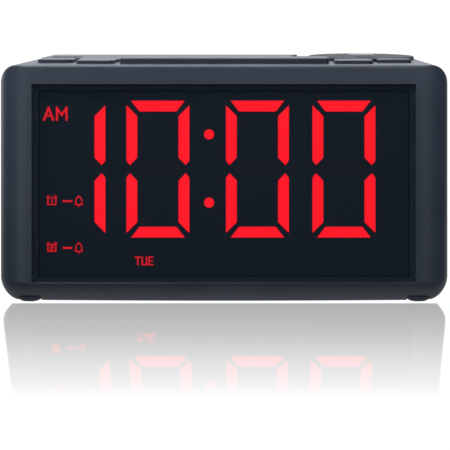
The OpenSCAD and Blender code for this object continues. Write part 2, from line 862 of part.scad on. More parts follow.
// Coil springs of the cells' negative ends, drawn as stacked rings on a cone
module battery_springs() {
    color([0.8, 0.8, 0.82]) for (i = [0, 1]) translate([bay_x[0] + 0.8, cell_y, cell_z(i)])
        rotate([0, 90, 0]) for (k = [0:2])
            translate([0, 0, k * 1.3]) difference() {
                cylinder(r = 3.6 - k * 0.6, h = 1.3);
                translate([0, 0, -1]) cylinder(r = 2.9 - k * 0.6, h = 4);
            }
}

module battery_plates() {
    color([0.8, 0.8, 0.82]) for (i = [0, 1]) {
        translate([bay_x[0], cell_y - 4.5, cell_z(i) - 4.5]) cube([0.8, 9, 9]);
        translate([bay_x[1] - 0.8, cell_y - 4.5, cell_z(i) - 4.5]) cube([0.8, 9, 9]);
    }
}

front_bezel();
display_lens();
cabinet();
rear_cover();
foot_front_left();
foot_front_right();
foot_rear_left();
foot_rear_right();
snooze_bar();
alarm_1_key();
alarm_2_key();
set_key();
radio_key();
sleep_key();
tuning_dial();
dial_button();
button_plunger();
snooze_plunger();
alarm_1_plunger();
alarm_2_plunger();
set_plunger();
radio_plunger();
sleep_plunger();
tact_switches();
key_pcb();
key_pcb_screws();
dial_encoder();
reflector_block();
hour_tens_digit();
hour_ones_digit();
colon_dots();
minute_tens_digit();
minute_ones_digit();
am_indicator();
alarm_1_indicator();
alarm_2_indicator();
weekday_indicator();
unlit_segments();
display_pcb();
display_screws();
main_pcb();
main_chips();
capacitors();
pcb_screws();
ribbon_cable();
speaker_frame();
speaker_cone();
speaker_magnet();
speaker_screws();
dc_jack();
ferrite_rod();
antenna_coil();
antenna_grommet();
rear_cover_screws();
battery_door();
backup_batteries();
battery_springs();
battery_plates();
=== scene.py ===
"""Clock radio with a large red LED display, low top keys, a dial and a rear loudspeaker.

Lengths are in millimetres until settle() turns a finished mesh into metres. The face leans
back, so its pieces are drawn in a face frame (u across, v up the face, w along its normal).
"""
import math
import bpy
import bmesh
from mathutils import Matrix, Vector


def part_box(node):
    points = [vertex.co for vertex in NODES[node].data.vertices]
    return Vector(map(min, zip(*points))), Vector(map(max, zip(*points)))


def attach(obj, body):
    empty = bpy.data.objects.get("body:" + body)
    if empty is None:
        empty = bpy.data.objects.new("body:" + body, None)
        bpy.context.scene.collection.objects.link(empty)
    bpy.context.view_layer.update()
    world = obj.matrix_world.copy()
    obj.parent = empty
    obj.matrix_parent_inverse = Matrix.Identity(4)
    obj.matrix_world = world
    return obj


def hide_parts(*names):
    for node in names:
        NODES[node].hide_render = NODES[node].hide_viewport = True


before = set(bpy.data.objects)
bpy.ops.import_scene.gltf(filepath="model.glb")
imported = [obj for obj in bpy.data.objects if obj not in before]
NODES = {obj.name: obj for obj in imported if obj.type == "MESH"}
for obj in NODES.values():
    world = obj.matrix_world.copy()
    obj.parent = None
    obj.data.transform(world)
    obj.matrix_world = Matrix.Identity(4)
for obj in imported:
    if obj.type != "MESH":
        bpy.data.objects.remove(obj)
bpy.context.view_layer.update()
MM = 0.001


# ---------- sizes taken from the frame ----------

def node_box(name):
    """Lowest and highest corner of a CAD node, in millimetres."""
    low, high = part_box(name)
    return low / MM, high / MM


lens_mesh = NODES["display_lens"].data
front_face = min(lens_mesh.polygons, key=lambda p: (round(p.normal.y, 3), -p.area))
TILT = math.atan2(front_face.normal.z, -front_face.normal.y)
SIN, COS = math.sin(TILT), math.cos(TILT)

cabinet_low, cabinet_high = node_box("cabinet")
HALF_W = cabinet_high.x
BASE_Z = cabinet_low.z
TOP_Z = node_box("front_bezel")[1].z
COVER_Y = cabinet_high.y
BACK_Y = node_box("rear_cover")[1].y
lens_low, lens_high = node_box("display_lens")
LENS_RECESS = 0.4
LENS_T = 2.0
# Where the face's plane meets the base of the body
FACE_Y = (lens_high.y - LENS_T * COS - LENS_RECESS * COS
          - (lens_high.z + LENS_RECESS * SIN - BASE_Z) * SIN / COS)
LENS_HALF = (lens_high.x - lens_low.x) / 2
LENS_LOW_V = (lens_low.z - BASE_Z + (LENS_RECESS + LENS_T) * SIN) / COS
LENS_HIGH_V = (lens_high.z - BASE_Z + LENS_RECESS * SIN) / COS
SEAM_W = 5.0
WALL = 2.2
ROUND_TOP = 6.3
ROUND_LOW = 7.3
PANEL_Y = FACE_Y + (TOP_Z - BASE_Z) * SIN / COS


def face(u, v, w=0.0):
    """Point on the face, v up the face from its foot and w out along its normal."""
    return Vector((u, FACE_Y + v * SIN - w * COS, BASE_Z + v * COS + w * SIN))


def behind(x, z, d=0.0):
    """Point a level distance d behind the face's plane."""
    return Vector((x, FACE_Y + (z - BASE_Z) * SIN / COS + d, z))


# ---------- mesh tools ----------

MERGE = 0.0005                           # points closer than this are one point


def settle(bm, name, body, material, replaces=(), sharp=32, weighted=True):
    """Turn a mesh in millimetres into a finished piece in metres."""
    bmesh.ops.remove_doubles(bm, verts=bm.verts, dist=MERGE)
    bmesh.ops.dissolve_degenerate(bm, edges=bm.edges, dist=MERGE)
    bmesh.ops.recalc_face_normals(bm, faces=bm.faces)
    bmesh.ops.scale(bm, vec=(MM, MM, MM), verts=bm.verts)
    mesh = bpy.data.meshes.new(name)
    bm.to_mesh(mesh)
    bm.free()
    for polygon in mesh.polygons:
        polygon.use_smooth = True
    mesh.set_sharp_from_angle(angle=math.radians(sharp))
    piece = bpy.data.objects.new(name, mesh)
    bpy.context.scene.collection.objects.link(piece)
    if weighted:
        normals = piece.modifiers.new("weighted normals", "WEIGHTED_NORMAL")
        normals.keep_sharp = True
    mesh.materials.append(material)
    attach(piece, body)
    if replaces:
        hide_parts(*replaces)
    return piece


def skin(bm, loops, closed=False, caps=True):
    """Join loops with the same number of points by quads; cap the ends or close the ring."""
    rows = [[bm.verts.new(p) for p in loop] for loop in loops]
    count = len(rows[0])
    pairs = list(zip(rows, rows[1:]))
    if closed:
        pairs.append((rows[-1], rows[0]))
    for a, b in pairs:
        for i in range(count):
            j = (i + 1) % count
            bm.faces.new((a[i], a[j], b[j], b[i]))
    if caps and not closed:
        bm.faces.new(rows[0][::-1])
        bm.faces.new(rows[-1])
    return rows


def cut(bm, cutters, operation="DIFFERENCE"):
    """Take the closed meshes in cutters away from bm, or join them to it, by one exact boolean."""
    objects = []
    for source in (bm, cutters):
        bmesh.ops.remove_doubles(source, verts=source.verts, dist=MERGE)
        bmesh.ops.recalc_face_normals(source, faces=source.faces)
        mesh = bpy.data.meshes.new("scratch")
        source.to_mesh(mesh)
        source.free()
        scratch = bpy.data.objects.new("scratch", mesh)
        bpy.context.scene.collection.objects.link(scratch)
        objects.append(scratch)
    work, tool = objects
    boolean = work.modifiers.new("cut", "BOOLEAN")
    boolean.operation = operation
    boolean.solver = "EXACT"
    boolean.object = tool
    depsgraph = bpy.context.evaluated_depsgraph_get()
    depsgraph.update()
    result = bmesh.new()
    result.from_mesh(work.evaluated_get(depsgraph).to_mesh())
    for scratch in objects:
        mesh = scratch.data
        bpy.data.objects.remove(scratch)
        bpy.data.meshes.remove(mesh)
    return result


def rounded(x0, x1, y0, y1, radii, steps=10):
    """Outline of a rectangle, anticlockwise from its lower left corner, as (x, y, turn).

    radii holds (rx, ry) for the lower left, lower right, upper right and upper left corner.
    turn is 0 on the sides and 1 at the top and bottom.
    """
    points = []
    corners = ((x0, y0, 1, 1, 180), (x1, y0, -1, 1, 270), (x1, y1, -1, -1, 0), (x0, y1, 1, -1, 90))
    for (x, y, sx, sy, start), (rx, ry) in zip(corners, radii):
        for k in range(steps + 1):
            a = math.radians(start + 90 * k / steps)
            points.append((x + sx * rx + rx * math.cos(a), y + sy * ry + ry * math.sin(a),
                           math.sin(a) ** 2))
    return points


KEY_ROUND = 1.8                          # plan radius of a key's corners


def pill(at, grow=0.0, r=KEY_ROUND, steps=8):
    """Plan outline of a rounded rectangle: at holds its low and high x and y."""
    x0, x1, y0, y1 = at
    r = max(r + grow, 0.05)
    return [(x, y) for x, y, _ in rounded(x0 - grow, x1 + grow, y0 - grow, y1 + grow,
                                          [(r, r)] * 4, steps)]


def lathe(bm, profile, centre, axis="Z", steps=96):
    """Closed solid of revolution; profile holds (radius, height) from one end to the other."""
    loops = []
    for r, h in profile:
        loop = []
        for k in range(steps):
            a = 2 * math.pi * k / steps
            if axis == "Z":
                loop.append(Vector(centre) + Vector((r * math.cos(a), r * math.sin(a), h)))
            else:
                loop.append(Vector(centre) + Vector((r * math.cos(a), h, r * math.sin(a))))
        loops.append(loop)
    skin(bm, loops)


def lathe_y(bm, profile, centre, steps=48):
    """Solid of revolution about a line along Y; profile holds (radius, y)."""
    lathe(bm, profile, (centre[0], 0, centre[1]), axis="Y", steps=steps)


def arc(cx, cy, r, a0, a1, steps=6):
    """Points on an arc, from angle a0 to a1 in degrees."""
    return [(cx + r * math.cos(math.radians(a0 + (a1 - a0) * k / steps)),
             cy + r * math.sin(math.radians(a0 + (a1 - a0) * k / steps)))
            for k in range(steps + 1)]


def box_between(bm, low, high):
    """Closed box between two corners."""
    x0, y0, z0 = low
    x1, y1, z1 = high
    skin(bm, [[Vector((x0, y, z0)), Vector((x1, y, z0)), Vector((x1, y, z1)), Vector((x0, y, z1))]
              for y in (y0, y1)])


# ---------- materials ----------

def new_material(name, colour, roughness, **sockets):
    """Principled material; a further socket is named with _ for each space in its name."""
    material = bpy.data.materials.new(name)
    material.use_nodes = True
    shader = material.node_tree.nodes["Principled BSDF"]
    shader.inputs["Base Color"].default_value = (*colour, 1)
    shader.inputs["Roughness"].default_value = roughness
    for socket, value in sockets.items():
        shader.inputs[socket.replace("_", " ")].default_value = value
    return material


def add_node(material, kind, **values):
    """New shader node; a value goes to the socket of that name, or to the node's property."""
    node = material.node_tree.nodes.new(kind)
    for key, value in values.items():
        if key in node.inputs:
            node.inputs[key].default_value = value
        else:
            setattr(node, key, value)
    return node


def noise(material, scale, detail=4.0, rough=0.55):
    """Noise in object space, scale in waves to a metre."""
    place = add_node(material, "ShaderNodeTexCoord")
    texture = add_node(material, "ShaderNodeTexNoise", Scale=scale, Detail=detail, Roughness=rough)
    material.node_tree.links.new(place.outputs["Object"], texture.inputs["Vector"])
    return texture.outputs["Fac"]


def ramp(material, fac, low, high, start, end):
    """Colour from low to high as fac goes from start to end."""
    node = add_node(material, "ShaderNodeValToRGB")
    node.color_ramp.elements[0].position = start
    node.color_ramp.elements[0].color = (*low, 1)
    node.color_ramp.elements[1].position = end
    node.color_ramp.elements[1].color = (*high, 1)
    material.node_tree.links.new(fac, node.inputs["Fac"])
    return node.outputs["Color"]


def moulded(name, colour, roughness, grain=2600, depth=0.02, vary=0.12, spread=0.06, **sockets):
    """Moulded plastic: spark-eroded grain in the bump, soft cloudy changes of tone and gloss."""
    material = new_material(name, colour, roughness, **sockets)
    links = material.node_tree.links
    shader = material.node_tree.nodes["Principled BSDF"]
    cloud = noise(material, 45, 3)
    low = tuple(c * (1 - vary) for c in colour)
    high = tuple(c * (1 + vary) for c in colour)
    links.new(ramp(material, cloud, low, high, 0.3, 0.7), shader.inputs["Base Color"])
    speck = noise(material, grain, 2)
    gloss = add_node(material, "ShaderNodeMapRange")
    gloss.inputs["To Min"].default_value = roughness - spread
    gloss.inputs["To Max"].default_value = roughness + spread
    links.new(speck, gloss.inputs["Value"])
    links.new(gloss.outputs["Result"], shader.inputs["Roughness"])
    if depth:
        bump = add_node(material, "ShaderNodeBump", Strength=1.0, Distance=depth * MM)
        links.new(speck, bump.inputs["Height"])
        links.new(bump.outputs["Normal"], shader.inputs["Normal"])
    return material


def glowing(name, colour, strength):
    """Lit LED diffuser: even light with a faint mottle from its epoxy."""
    material = new_material(name, (0.25, 0.01, 0.015), 0.35)
    shader = material.node_tree.nodes["Principled BSDF"]
    mottle = noise(material, 900, 2)
    low = tuple(c * 0.93 for c in colour)
    material.node_tree.links.new(ramp(material, mottle, low, colour, 0.3, 0.6),
                                 shader.inputs["Emission Color"])
    shader.inputs["Emission Strength"].default_value = strength
    return material


CASING = moulded("slate casing", (0.041, 0.048, 0.063), 0.36, grain=3200, depth=0.012)
KEYS = moulded("slate keys", (0.036, 0.042, 0.054), 0.32, grain=3200, depth=0.008)
DIAL = moulded("slate dial", (0.020, 0.024, 0.031), 0.55, grain=2600, depth=0.008,
               Specular_IOR_Level=0.3)
DIAL_CAP = moulded("gloss dial cap", (0.035, 0.042, 0.052), 0.14, depth=0.0, spread=0.03)
COVER = moulded("rear slate", (0.022, 0.027, 0.033), 0.5, grain=2000, depth=0.02)
RUBBER = moulded("foot rubber", (0.022, 0.026, 0.031), 0.7, grain=1500, depth=0.03)
BLACK = moulded("matt black", (0.008, 0.010, 0.013), 0.6, grain=1800, depth=0.01)
BLOCK = moulded("display black", (0.006, 0.011, 0.018), 0.7, grain=2400, depth=0.01)
NYLON = moulded("nylon", (0.45, 0.4, 0.3), 0.5, grain=900, depth=0.01)
FERRITE = moulded("ferrite", (0.03, 0.03, 0.033), 0.65, grain=1400, depth=0.04)
CONE = moulded("paper cone", (0.012, 0.012, 0.012), 0.9, grain=1600, depth=0.05)
SLEEVE = moulded("capacitor sleeve", (0.01, 0.016, 0.06), 0.3, grain=900, depth=0.0)
CABLE = moulded("grey cable", (0.3, 0.3, 0.32), 0.5, grain=700, depth=0.01)
CELL = moulded("cell sleeve", (0.42, 0.24, 0.04), 0.28, grain=600, depth=0.0)
BOARD = moulded("solder mask", (0.01, 0.09, 0.03), 0.3, grain=500, depth=0.01, vary=0.3)
STEEL = moulded("plated steel", (0.40, 0.40, 0.42), 0.38, grain=1200, depth=0.004, Metallic=1.0)
COPPER = moulded("copper wire", (0.6, 0.22, 0.08), 0.35, grain=900, depth=0.01, Metallic=1.0)
UNLIT = moulded("unlit segment", (0.030, 0.010, 0.010), 0.5, grain=1200, depth=0.004)
LIT = glowing("lit segment", (1.0, 0.002, 0.0075), 3.5)
ICON = glowing("lit icon", (1.0, 0.004, 0.01), 2.4)

LENS = new_material("smoked lens", (0.30, 0.33, 0.37), 0.03, Transmission_Weight=1.0, IOR=1.49)


# ---------- front bezel ----------

SIDE_IN, SIDE_BACK = 9.9, 4.7            # width and depth of the pillowed side bands
BROW_IN, BROW_BACK = 0.9, 0.8            # rounding of the top front edge
CHIN_IN, CHIN_BACK = 5.62, 3.4           # slope and rounding of the chin
CORNER_IN = 0.6                          # corner radius where the roll leaves the face
SLOPE_SHARE = 0.8                        # share of the chin's depth that is slope, not rounding
STAGES = 12                              # loops over the rolled edge
CORNER_STEPS = 12                        # points along one corner of the outline
BASE_STEPS = 12                          # points along the base


def with_base(points):
    """The same outline with more points along its base, so that the base can curve."""
    first = CORNER_STEPS + 1
    a, b = points[first - 1], points[first]
    between = [tuple(p + (q - p) * k / BASE_STEPS for p, q in zip(a, b))
               for k in range(1, BASE_STEPS)]
    return points[:first] + between + points[first:]


def face_rect(u, v0, v1, w):
    """Rectangle on the face, with as many points as a rounded outline."""
    corners = ((-u, v0), (u, v0), (u, v1), (-u, v1))
    points = [corner for corner in corners for _ in range(CORNER_STEPS + 1)]
    return [face(x, v, w) for x, v in with_base(points)]


SAG, SAG_MIDDLE = 0.5, 0.4               # drop of the base at its ends, and more at its middle


def sagged(x, z):
    """Height z with the base let down, in a shallow curve that is lowest at the middle."""
    share = max(0.0, 1 - (z - BASE_Z) / ROUND_LOW) ** 2
    return z - share * (SAG + SAG_MIDDLE * (1 - (x / HALF_W) ** 2))


def shell_outline(inset, depth):
    """Outline of the body, drawn in by inset, at a level depth behind the face's plane."""
    low, top = max(ROUND_LOW - inset, 0.8), max(ROUND_TOP - inset, 0.8)
    points = rounded(-HALF_W + inset, HALF_W - inset, BASE_Z + inset, TOP_Z - inset,
                     [(low, low), (low, low), (top, top), (top, top)], CORNER_STEPS)
    return [(x, sagged(x, z), depth) for x, z, _ in with_base(points)]


def bezel_stage(k):
    """Loop k of the rolled edge, from the face's plane to the sides."""
    a = math.radians(90 * k / STAGES)
    out, back = math.sin(a), 1 - math.cos(a)
    low = CORNER_IN + (ROUND_LOW - CORNER_IN) * out
    top = CORNER_IN + (ROUND_TOP - CORNER_IN) * out
    half = HALF_W - SIDE_IN * (1 - out)
    points = rounded(-half, half, BASE_Z + CHIN_IN * (1 - out), TOP_Z - BROW_IN * (1 - out),
                     [(low, low), (low, low), (top, top), (top, top)], CORNER_STEPS)
    middle = (BASE_Z + TOP_Z) / 2
    loop = []
    for x, z, turn in with_base(points):
        chin_back = CHIN_BACK * (SLOPE_SHARE * out + (1 - SLOPE_SHARE) * back)
        end_back = BROW_BACK * back if z > middle else chin_back
        depth = SIDE_BACK * back * (1 - turn) + end_back * turn
        loop.append(behind(x, sagged(x, z), depth))
    return loop


def level_outline(inset, y):
    """Outline of the body in the upright plane at y."""
    return [Vector((x, y, z)) for x, z, _ in shell_outline(inset, 0)]


def make_bezel():
    """Front frame, skinned from the lens's ledge over the rolled edge to the seam and back."""
    bm = bmesh.new()
    ledge, ledge_t = 1.5, 1.58
    pocket_w = -LENS_RECESS - LENS_T - 0.02
    back_w, chamfer = pocket_w - ledge_t, 0.12
    v0, v1 = LENS_LOW_V, LENS_HIGH_V
    seam = SEAM_W / COS
    loops = [
        face_rect(LENS_HALF - ledge, v0 + ledge, v1 - ledge, back_w),
        face_rect(LENS_HALF - ledge, v0 + ledge, v1 - ledge, pocket_w),
        face_rect(LENS_HALF + 0.04, v0 - 0.04, v1 + 0.04, pocket_w),
        face_rect(LENS_HALF + 0.04, v0 - 0.04, v1 + 0.04, -chamfer),
        face_rect(LENS_HALF + chamfer, v0 - chamfer, v1 + chamfer, 0),
    ]
    loops += [bezel_stage(k) for k in (0, 0.2, *range(1, STAGES + 1))]
    loops += [
        [behind(*p) for p in shell_outline(0, max(seam - 0.2, CHIN_BACK))],
        [behind(*p) for p in shell_outline(0.2, max(seam, CHIN_BACK + 0.2))],
        [behind(*p) for p in shell_outline(WALL, max(seam, CHIN_BACK + 0.2))],
        [behind(*p) for p in shell_outline(WALL, -back_w / COS)],
    ]
    skin(bm, loops, closed=True)
    tools = bmesh.new()
    for side in ("left", "right"):
        low, high = node_box(f"foot_front_{side}")
        pad = (low.x, high.x, low.y, high.y)
        skin(tools, [[Vector((x, y, z)) for x, y in pill(pad, 0.05, PAD_ROUND)]
                     for z in (BASE_Z - 1, high.z + 0.02)])
    return settle(cut(bm, tools), "front_bezel_shell", "housing", CASING,
                  ["front_bezel"])


# ---------- cabinet ----------

FLANGE = 0.9                             # the flange under the panel stands out this far
KEY_GAP = 0.3


def key_at(node):
    """Plan of a key's cap: its node is its flange's width, so the flange comes off."""
    low, high = node_box(node)
    return (low.x + FLANGE, high.x - FLANGE, low.y + FLANGE, high.y - FLANGE)


KEY_NODES = {"snooze_bar": "snooze", "alarm_1_key": "alarm_1", "alarm_2_key": "alarm_2",
             "set_key": "set", "radio_key": "radio", "sleep_key": "sleep"}
DIAL_LOW, DIAL_HIGH = node_box("tuning_dial")
DIAL_C = ((DIAL_LOW.x + DIAL_HIGH.x) / 2, (DIAL_LOW.y + DIAL_HIGH.y) / 2)
DIAL_R = (DIAL_HIGH.x - DIAL_LOW.x) / 2
WELL_DEEP = 1.0                          # depth of the shallow well under the dial
HUB_HOLE_R = 6.3
DECK_RISE = 1.0
DECK_ROUND, DECK_SOFT = 1.5, 0.3         # corner radius in plan and radius of the upper edge
DECK_BACK = PANEL_Y + 50
DECK_CLEAR = 26.0                        # radius kept clear around the dial


def flared(bm, outline, low, top, flare, over=0.3):
    """Cutter that goes through a panel whose face is at top and chamfers the opening's edge."""
    def at(grow, z):
        return [Vector((x, y, z)) for x, y in outline(grow)]
    skin(bm, [at(0, low), at(0, top - flare), at(flare + over, top + over)])


def rounded_slab(bm, at, low, top):
    """Part of the deck: a pill in plan, with a rounded upper edge."""
    loops = [[Vector((x, y, low)) for x, y in pill(at, 0, DECK_ROUND)]]
    for grow, z in arc(-DECK_SOFT, top - DECK_SOFT, DECK_SOFT, 0, 90, 4):
        loops.append([Vector((x, y, z)) for x, y in pill(at, grow, DECK_ROUND)])
    skin(bm, loops)


def make_deck():
    """Low deck behind the front keys, which curves round the dial."""
    top = TOP_Z + DECK_RISE
    low = TOP_Z - 0.4
    front = bmesh.new()
    rounded_slab(front, (-51.4, DIAL_C[0], PANEL_Y + 18.2, DECK_BACK), low, top)
    rear = bmesh.new()
    rounded_slab(rear, (-66.5, 0, PANEL_Y + 26, DECK_BACK), low, top)
    around = bmesh.new()
    lathe(around, [(DECK_CLEAR, TOP_Z - 2), (DECK_CLEAR, top - 0.2), (DECK_CLEAR + 0.5, top + 0.3)],
          (*DIAL_C, 0), steps=160)
    return cut(cut(front, rear, "UNION"), around)


def make_cabinet():
    """Sleeve with the top panel, its raised deck, the key openings and the dial's well."""
    bm = bmesh.new()
    seam = max(SEAM_W / COS, CHIN_BACK + 0.2) + 0.03
    loops = [
        [behind(*p) for p in shell_outline(0.2, seam)],
        [behind(*p) for p in shell_outline(0, seam + 0.2)],
        level_outline(0, COVER_Y - 0.2),
        level_outline(0.2, COVER_Y),
        level_outline(WALL, COVER_Y),
        [behind(*p) for p in shell_outline(WALL, seam)],
    ]
    skin(bm, loops, closed=True)
    bm = cut(bm, make_deck(), "UNION")
    tools = bmesh.new()
    for node in KEY_NODES:
        at = key_at(node)
        top = TOP_Z + (DECK_RISE if node == "set_key" else 0)
        flared(tools, lambda grow, at=at: pill(at, grow + KEY_GAP), TOP_Z - 2 * WALL, top, 0.2)
    well = DIAL_R + 0.3
    floor_z = TOP_Z - WELL_DEEP
    lathe(tools, [(HUB_HOLE_R, TOP_Z - 2 * WALL), (HUB_HOLE_R, floor_z), (well, floor_z),
                  (well, TOP_Z - 0.15), (well + 0.45, TOP_Z + 0.3)], (*DIAL_C, 0))
    for side in ("left", "right"):
        low, high = node_box(f"foot_rear_{side}")
        centre = ((low.x + high.x) / 2, (low.y + high.y) / 2)
        r = (high.x - low.x) / 2 + 0.05
        lathe(tools, [(r, BASE_Z - 1), (r, high.z + 0.02)], (*centre, 0), steps=48)
    return settle(cut(bm, tools), "cabinet_shell", "housing", CASING, ["cabinet"])


# ---------- feet ----------

PAD_ROUND = 1.4                          # plan radius of a front pad's corners
PAD_SET_BACK = 0.35


def make_feet():
    """Domed front pads in pockets of the bezel and round rear pads with a shallow dish."""
    soft = 0.35
    for side in ("left", "right"):
        node = f"foot_front_{side}"
        low, high = node_box(node)
        pad = (low.x, high.x, low.y + PAD_SET_BACK, high.y)
        middle = ((pad[0] + pad[1]) / 2, (pad[2] + pad[3]) / 2)
        def ring(turn, z):
            across = math.sin(turn) if turn else 0.02
            along = math.sin(turn) ** 0.6 if turn else 0.02
            return [Vector((middle[0] + (x - middle[0]) * across,
                            middle[1] + (y - middle[1]) * along, z))
                    for x, y in pill(pad, 0, PAD_ROUND)]
        bm = bmesh.new()
        turns = [math.pi / 2 * k / 8 for k in range(9)]
        skin(bm, [ring(turn, high.z * 0.7 * (1 - math.cos(turn))) for turn in turns]
             + [ring(math.pi / 2, high.z)])
        settle(bm, node + "_pad", "housing", RUBBER, [node])
        node = f"foot_rear_{side}"
        low, high = node_box(node)
        centre = ((low.x + high.x) / 2, (low.y + high.y) / 2, 0)
        r = (high.x - low.x) / 2
        profile = [(0.01, 0.2), (r - 1.4, 0.2), (r - 1.2, 0.0)]
        profile += arc(r - soft, soft, soft, -90, 0)
        profile += [(r, high.z), (0.01, high.z)]
        bm = bmesh.new()
        lathe(bm, profile, centre, steps=48)
        settle(bm, node + "_pad", "housing", RUBBER, [node])


# ---------- keys ----------

def make_key(node, body, edge, dome):
    """Key cap: a round stem, a flange and a softly domed top with a rounded edge."""
    low, high = node_box(node)
    at = key_at(node)
    middle = ((at[0] + at[1]) / 2, (at[2] + at[3]) / 2)
    flange_top = TOP_Z - WALL - 0.1
    def ring(grow, z):
        return [Vector((x, y, z)) for x, y in pill(at, grow)]
    count = len(pill(at))
    stem_r, flange_low = 1.5, flange_top - 1.2
    def stem(z):
        start = math.radians(180 + 45 / 8)
        return [Vector((middle[0] + stem_r * math.cos(start + 2 * math.pi * k / count),
                        middle[1] + stem_r * math.sin(start + 2 * math.pi * k / count), z))
                for k in range(count)]
    loops = [stem(low.z), stem(flange_low), ring(FLANGE, flange_low),
             ring(FLANGE, flange_top), ring(0, flange_top)]
    for grow, z in arc(-edge, high.z - dome - edge, edge, 0, 90, 7):
        loops.append(ring(grow, z))
    reach = min(at[1] - at[0], at[3] - at[2]) / 2 - 0.3
    for k in range(1, 7):
        t = k / 6
        loops.append(ring(-edge - (reach - edge) * t, high.z - dome * (1 - t) ** 2))
    bm = bmesh.new()
    skin(bm, loops)
    settle(bm, node + "_cap", body, KEYS, [node])


# ---------- dial ----------

BUTTON_LOW, BUTTON_HIGH = node_box("dial_button")
BUTTON_R = (BUTTON_HIGH.x - BUTTON_LOW.x) / 2
DIMPLE = (13.6, 4.2, 0.7)                # distance from the dial's axis, radius and depth


def make_dial():
    """Low disc with a fluted rim, a gently domed top, a finger dimple and a centre well."""
    teeth = 96
    steps = teeth * 3
    low, top = DIAL_LOW.z, DIAL_HIGH.z
    under = TOP_Z - WELL_DEEP + 0.15
    rim_top = TOP_Z + 1.1
    bore, hub, well = 3.3, 6.0, BUTTON_R + 0.3
    rim = DIAL_R
    profile = [(bore, low), (hub - 0.3, low), (hub, low + 0.3), (hub, under), (rim - 0.3, under),
               (rim, under + 0.2), (rim, rim_top - 0.35)]
    first_rim, last_rim = 5, 6
    profile += arc(rim - 0.35, rim_top - 0.35, 0.35, 10, 80, 5)
    rings = 22
    dome = rim - 0.5 - well - 0.3
    profile += [(rim - 0.5 - dome * t / rings, top - (top - rim_top) * (1 - t / rings) ** 2)
                for t in range(rings + 1)]
    profile += [(well, top - 0.25), (well, TOP_Z - 0.2), (bore, TOP_Z - 0.2)]
    reach, half, deep = DIMPLE
    ball = (half ** 2 + deep ** 2) / (2 * deep)
    dimple_z = TOP_Z + 1.26              # height of the dome where the dimple is pressed in
    ball_z = dimple_z - deep + ball
    bm = bmesh.new()
    loops = []
    for i, (r, z) in enumerate(profile):
        loop = []
        for k in range(steps):
            a = 2 * math.pi * k / steps
            notch = 0.25 if first_rim <= i <= last_rim and k % 3 == 0 else 0.0
            x, y = (r - notch) * math.cos(a), (r - notch) * math.sin(a)
            away = math.hypot(x, y + reach)
            dip = ball_z - math.sqrt(ball ** 2 - away ** 2) if away < half + 0.6 else z
            loop.append(Vector((DIAL_C[0] + x, DIAL_C[1] + y, min(z, dip))))
        loops.append(loop)
    skin(bm, loops, closed=True)
    settle(bm, "tuning_dial_disc", "dial", DIAL, ["tuning_dial"], sharp=24)


def make_dial_button():
    """Gloss push button in the dial's centre, on a thinner stem."""
    r, low, top = BUTTON_R, BUTTON_LOW.z, BUTTON_HIGH.z
    profile = [(0.01, low), (2.7, low), (3.0, low + 0.3), (3.0, TOP_Z + 0.5),
               (r - 0.2, TOP_Z + 0.5), (r, TOP_Z + 0.7), (r, top - 0.6)]
    profile += arc(r - 0.35, top - 0.6, 0.35, 0, 75, 5)
    profile += [(r * (1 - t), top - 0.22 * (1 - t) ** 2) for t in (0.12, 0.25, 0.4, 0.6, 0.8, 0.99)]
    bm = bmesh.new()
    lathe(bm, profile, (*DIAL_C, 0), steps=96)
    settle(bm, "dial_button_cap", "button", DIAL_CAP, ["dial_button"])


# ---------- lens ----------

def make_lens():
    """Flat plate with a small chamfer round its front edge."""
    bm = bmesh.new()
    edge = 0.18
    front, back = -LENS_RECESS, -LENS_RECESS - LENS_T
    corners = ((-1, 0), (1, 0), (1, 1), (-1, 1))
    def rect(inset, w):
        return [face(sx * (LENS_HALF - 0.05 - inset),
                     (LENS_LOW_V + 0.05 + inset) if not top else (LENS_HIGH_V - 0.05 - inset), w)
                for sx, top in corners]
    skin(bm, [rect(0, back), rect(0, front - edge), rect(edge, front)])
    lens = settle(bm, "display_lens_plate", "housing", LENS, ["display_lens"],
                  weighted=False)
    lens.visible_shadow = False


# ---------- rear cover ----------

GRILLE_R, GRILLE_PITCH = 22.0, 5
GRILLE_SLOT = 1.0                        # half the width of one of the speaker's slots
VENTS, VENT_X, VENT_LONG, VENT_PITCH = 7, 10, 5, 8
VENT_LOW, VENT_HIGH = 65.5, 67.5
JACK_HOLE_R, GLAND_HOLE_R = 4.5, 3.0
SCREW_HEAD_R = 2.4                       # radius of the head on the CAD node
SCREW_R, SCREW_HOLE_R, SCREW_SEAT_R = 1.2, 1.5, 2.75


def slot_cutter(bm, x0, x1, z0, z1, flare=0.25):
    """Cutter for a round-ended slot in the rear face, with a chamfered edge."""
    r = min(x1 - x0, z1 - z0) / 2 - 0.01
    def ring(grow, y):
        rr = r + grow
        return [Vector((x, y, z)) for x, z, _ in rounded(x0 - grow, x1 + grow, z0 - grow,
                                                        z1 + grow, [(rr, rr)] * 4, 6)]
    skin(bm, [ring(0, COVER_Y - 2), ring(0, BACK_Y - flare), ring(flare + 0.3, BACK_Y + 0.3)])


DOOR_LOW, DOOR_HIGH = node_box("battery_door")
BAY_DEEP = 14.0
DOOR_T = 1.4


